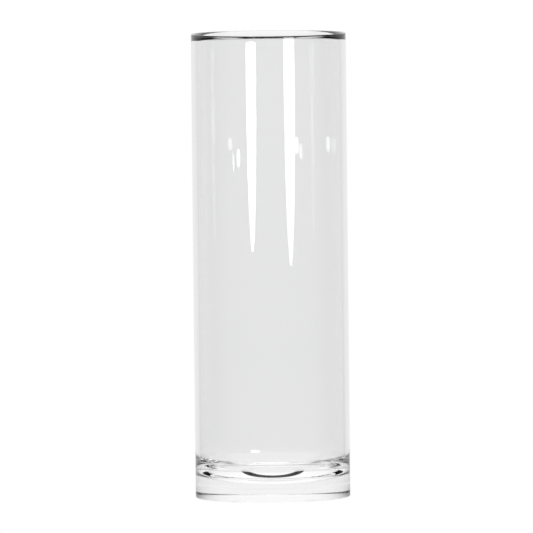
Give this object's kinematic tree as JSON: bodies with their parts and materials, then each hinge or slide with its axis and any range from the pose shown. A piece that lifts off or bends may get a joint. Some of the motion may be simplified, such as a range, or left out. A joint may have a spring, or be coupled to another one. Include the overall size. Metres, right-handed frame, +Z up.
{
  "type": "glass cylinder vase",
  "caption": "Straight-sided clear glass cylinder vase with an even wall, a smooth rim rounded towards the inside and a thick, heavy base.",
  "frame": {"origin": "centre of the standing face, on the vase's axis", "axes": "+Z up along the vase's axis; the shape is turned about it, so +X and +Y are free choices"},
  "size_m": [0.1, 0.1, 0.3],
  "materials": {
    "clear_glass": "clear, polished, colourless soda-lime glass"
  },
  "bodies": {
    "root": {"cylinder_wall": "clear_glass", "heavy_base": "clear_glass"}
  },
  "joints": []
}
